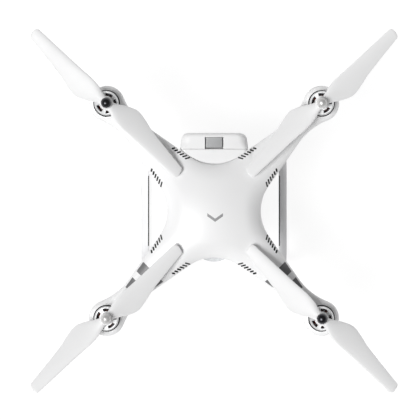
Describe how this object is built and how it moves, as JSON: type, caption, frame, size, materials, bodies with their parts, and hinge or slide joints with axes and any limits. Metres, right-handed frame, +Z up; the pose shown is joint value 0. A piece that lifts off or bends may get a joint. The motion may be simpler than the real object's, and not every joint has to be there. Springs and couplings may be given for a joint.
{
  "type": "quadcopter drone",
  "caption": "White X-shaped quadcopter with two-blade propellers, hoop landing gear, slide-out battery and a gimballed camera under the nose.",
  "frame": {"origin": "on the ground, under the middle of the body and of the four motor axes", "axes": "+Z up along the motor axes, +Y towards the tail and the battery, +X towards the aircraft's left"},
  "size_m": [0.4232, 0.4172, 0.181],
  "materials": {
    "shell_white": "smooth moulded polycarbonate",
    "prop_white": "glass-filled nylon",
    "gear_white": "fine satin moulding",
    "pad_rubber": "matt",
    "damper_rubber": "matt",
    "motor_metal": "machined, satin",
    "steel": "ground",
    "magnet": "nickel plated",
    "lamination": "black epoxy",
    "copper": "enamelled wire",
    "cap_dark": "dark anodised",
    "cap_silver": "satin anodised",
    "latch_grey": "ribbed",
    "button_grey": "smooth",
    "led_milky": "milky diffuser",
    "cell_silver": "foil pouch",
    "board_green": "solder resist",
    "gimbal_grey": "bead-blasted, anodised",
    "gimbal_dark": "satin anodised",
    "camera_grey": "bead-blasted, anodised",
    "lens_black": "semi-gloss",
    "lens_glass": "coated",
    "sensor_black": "satin",
    "contact_black": "moulded"
  },
  "bodies": {
    "airframe": {"upper_shell": "shell_white", "lower_shell": "shell_white", "battery_bay": "shell_white", "case_screws": "steel", "motor_windings": "copper", "motor_bearings": "steel", "power_connector": "contact_black", "landing_gear_left": "gear_white", "landing_gear_right": "gear_white", "skid_pads": "pad_rubber", "gimbal_top_plate": "gimbal_grey", "damping_plate": "gimbal_grey", "damper_balls": "damper_rubber", "yaw_motor": "gimbal_dark", "vision_sensor": "sensor_black", "main_board": "board_green", "gps_module": "cell_silver", "arm_led_lenses": "led_milky", "motor_base_rear_left": "motor_metal", "stator_rear_left": "lamination", "motor_base_rear_right": "motor_metal", "stator_rear_right": "lamination", "motor_base_front_left": "motor_metal", "stator_front_left": "lamination", "motor_base_front_right": "motor_metal", "stator_front_right": "lamination"},
    "rotor_rear_left": {"rotor_magnet_rear_left": "magnet", "motor_bell_rear_left": "motor_metal", "motor_shaft_rear_left": "steel", "propeller_rear_left": "prop_white", "propeller_cap_rear_left": "cap_silver"},
    "rotor_rear_right": {"rotor_magnet_rear_right": "magnet", "motor_bell_rear_right": "motor_metal", "motor_shaft_rear_right": "steel", "propeller_rear_right": "prop_white", "propeller_cap_rear_right": "cap_dark"},
    "rotor_front_left": {"rotor_magnet_front_left": "magnet", "motor_bell_front_left": "motor_metal", "motor_shaft_front_left": "steel", "propeller_front_left": "prop_white", "propeller_cap_front_left": "cap_dark"},
    "rotor_front_right": {"rotor_magnet_front_right": "magnet", "motor_bell_front_right": "motor_metal", "motor_shaft_front_right": "steel", "propeller_front_right": "prop_white", "propeller_cap_front_right": "cap_silver"},
    "battery": {"battery_case": "contact_black", "battery_cells": "cell_silver", "battery_end_cap": "shell_white", "battery_led_ring": "led_milky"},
    "latch_top": {"battery_latch_top": "latch_grey"},
    "latch_bottom": {"battery_latch_bottom": "latch_grey"},
    "power_button": {"battery_power_button": "button_grey"},
    "gimbal_yaw": {"yaw_arm": "gimbal_grey", "roll_motor": "gimbal_dark"},
    "gimbal_roll": {"roll_arm": "gimbal_grey", "pitch_motor": "gimbal_dark"},
    "camera": {"camera_body": "camera_grey", "lens_barrel": "lens_black", "lens_glass": "lens_glass"}
  },
  "joints": [
    {"name": "rotor_spin_rear_left", "type": "hinge", "parent": "airframe", "child": "rotor_rear_left", "pos_m": [0.12375, 0.12375, 0.161], "axis": [0, 0, 1], "continuous": true},
    {"name": "rotor_spin_rear_right", "type": "hinge", "parent": "airframe", "child": "rotor_rear_right", "pos_m": [-0.12375, 0.12375, 0.161], "axis": [0, 0, 1], "continuous": true},
    {"name": "rotor_spin_front_left", "type": "hinge", "parent": "airframe", "child": "rotor_front_left", "pos_m": [0.12375, -0.12375, 0.161], "axis": [0, 0, 1], "continuous": true},
    {"name": "rotor_spin_front_right", "type": "hinge", "parent": "airframe", "child": "rotor_front_right", "pos_m": [-0.12375, -0.12375, 0.161], "axis": [0, 0, 1], "continuous": true},
    {"name": "battery_slide", "type": "slide", "parent": "airframe", "child": "battery", "axis": [0, 1, 0], "range_m": [0, 0.125]},
    {"name": "latch_top_press", "type": "slide", "parent": "battery", "child": "latch_top", "axis": [0, 0, -1], "range_m": [0, 0.002], "stiffness_N_per_m": 800, "springref_m": -0.001},
    {"name": "latch_bottom_press", "type": "slide", "parent": "battery", "child": "latch_bottom", "axis": [0, 0, 1], "range_m": [0, 0.002], "stiffness_N_per_m": 800, "springref_m": -0.001},
    {"name": "power_button_press", "type": "slide", "parent": "battery", "child": "power_button", "axis": [0, -1, 0], "range_m": [0, 0.0008], "stiffness_N_per_m": 1500, "springref_m": -0.0005},
    {"name": "gimbal_yaw_turn", "type": "hinge", "parent": "airframe", "child": "gimbal_yaw", "pos_m": [0, -0.03, 0.077], "axis": [0, 0, 1], "range_deg": [-25, 25]},
    {"name": "gimbal_roll_turn", "type": "hinge", "parent": "gimbal_yaw", "child": "gimbal_roll", "pos_m": [0, -0.007, 0.05], "axis": [0, -1, 0], "range_deg": [-30, 30]},
    {"name": "camera_pitch", "type": "hinge", "parent": "gimbal_roll", "child": "camera", "pos_m": [0.02, -0.03, 0.05], "axis": [1, 0, 0], "range_deg": [-30, 90]}
  ]
}
